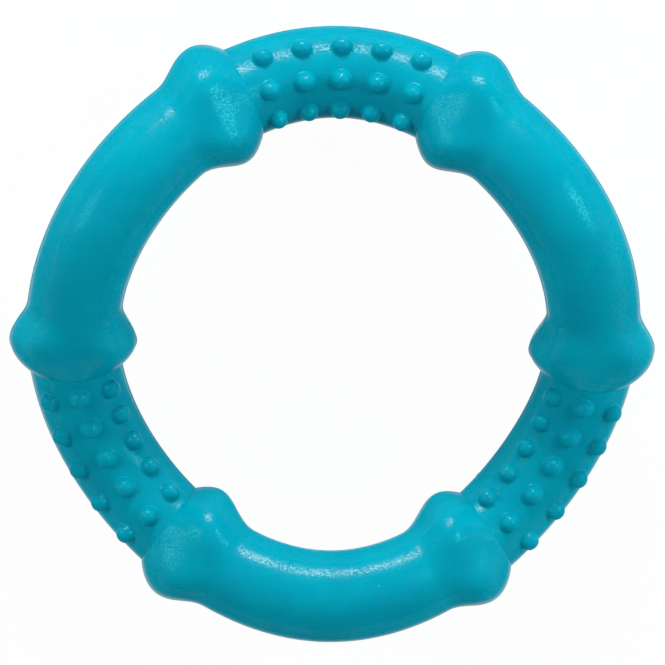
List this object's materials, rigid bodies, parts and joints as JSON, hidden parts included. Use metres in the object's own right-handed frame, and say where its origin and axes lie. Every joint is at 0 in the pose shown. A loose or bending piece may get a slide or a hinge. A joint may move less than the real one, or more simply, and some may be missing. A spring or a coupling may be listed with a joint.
{
  "type": "rubber chew ring",
  "caption": "Waved rubber chew ring for a dog: arched bone-shaped grips joined end to end by round links covered with small domed nubs, open in the middle for a hand or a jaw.",
  "frame": {"origin": "middle of the ring's eye, at the mean height of the ring's waved axis", "axes": "+Z through the eye, towards the side that the bones arch to; +Y from the middle towards link_1; +X to the right when the ring is seen from +Z with link_1 at the top"},
  "size_m": [0.165, 0.1564, 0.0468],
  "materials": {
    "rubber": "satin moulded rubber, one teal colour all through"
  },
  "bodies": {
    "root": {"bone_1": "rubber", "link_1": "rubber", "link_1_front_nubs": "rubber", "link_1_back_nubs": "rubber", "bone_2": "rubber", "link_2": "rubber", "link_2_front_nubs": "rubber", "link_2_back_nubs": "rubber", "bone_3": "rubber", "link_3": "rubber", "link_3_front_nubs": "rubber", "link_3_back_nubs": "rubber"}
  },
  "joints": []
}
